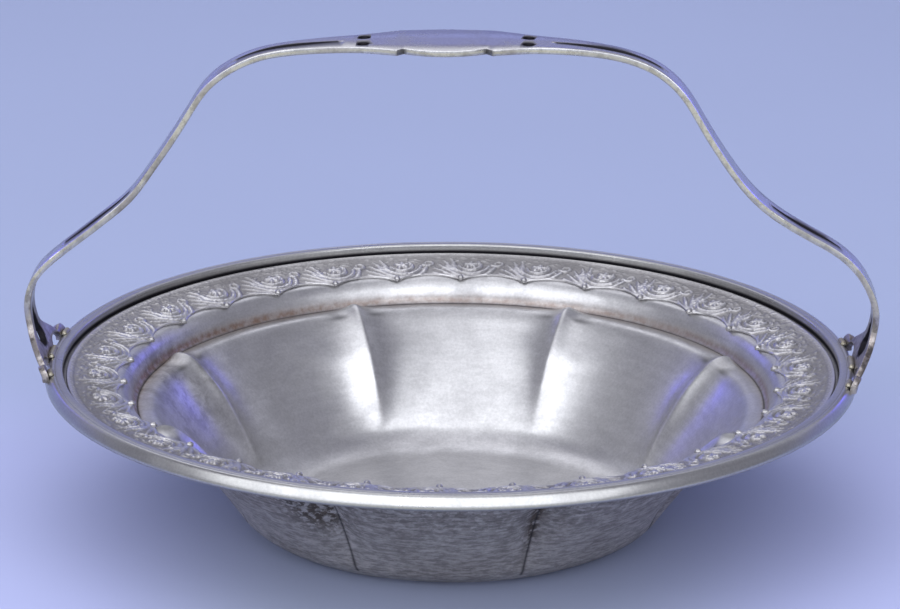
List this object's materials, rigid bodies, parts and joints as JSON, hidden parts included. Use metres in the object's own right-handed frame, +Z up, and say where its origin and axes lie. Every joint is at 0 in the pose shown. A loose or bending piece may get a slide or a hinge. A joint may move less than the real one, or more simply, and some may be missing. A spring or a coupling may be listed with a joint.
{
  "type": "silver basket",
  "caption": "Round silver basket with a fixed pierced bow handle, a lobed well and a scalloped ornamental border, resting on a flat base.",
  "frame": {"origin": "middle of the flat base, on the table", "axes": "+X along the handle's span, +Y from the front to the back, +Z up"},
  "size_m": [0.2792, 0.266, 0.1629],
  "materials": {
    "bowl_silver": "aged silver, worn satin polish with tarnish",
    "border_silver": "die rolled silver relief, dark oxide in the recesses",
    "wire_silver": "aged silver, soft polish",
    "handle_silver": "aged silver, polished faces with tarnish dots along the edges",
    "solder": "dull yellowish silver solder"
  },
  "bodies": {
    "root": {"bowl_body": "bowl_silver", "border_band": "border_silver", "rim_wire": "wire_silver", "handle": "handle_silver", "solder_left": "solder", "solder_right": "solder"}
  },
  "joints": []
}
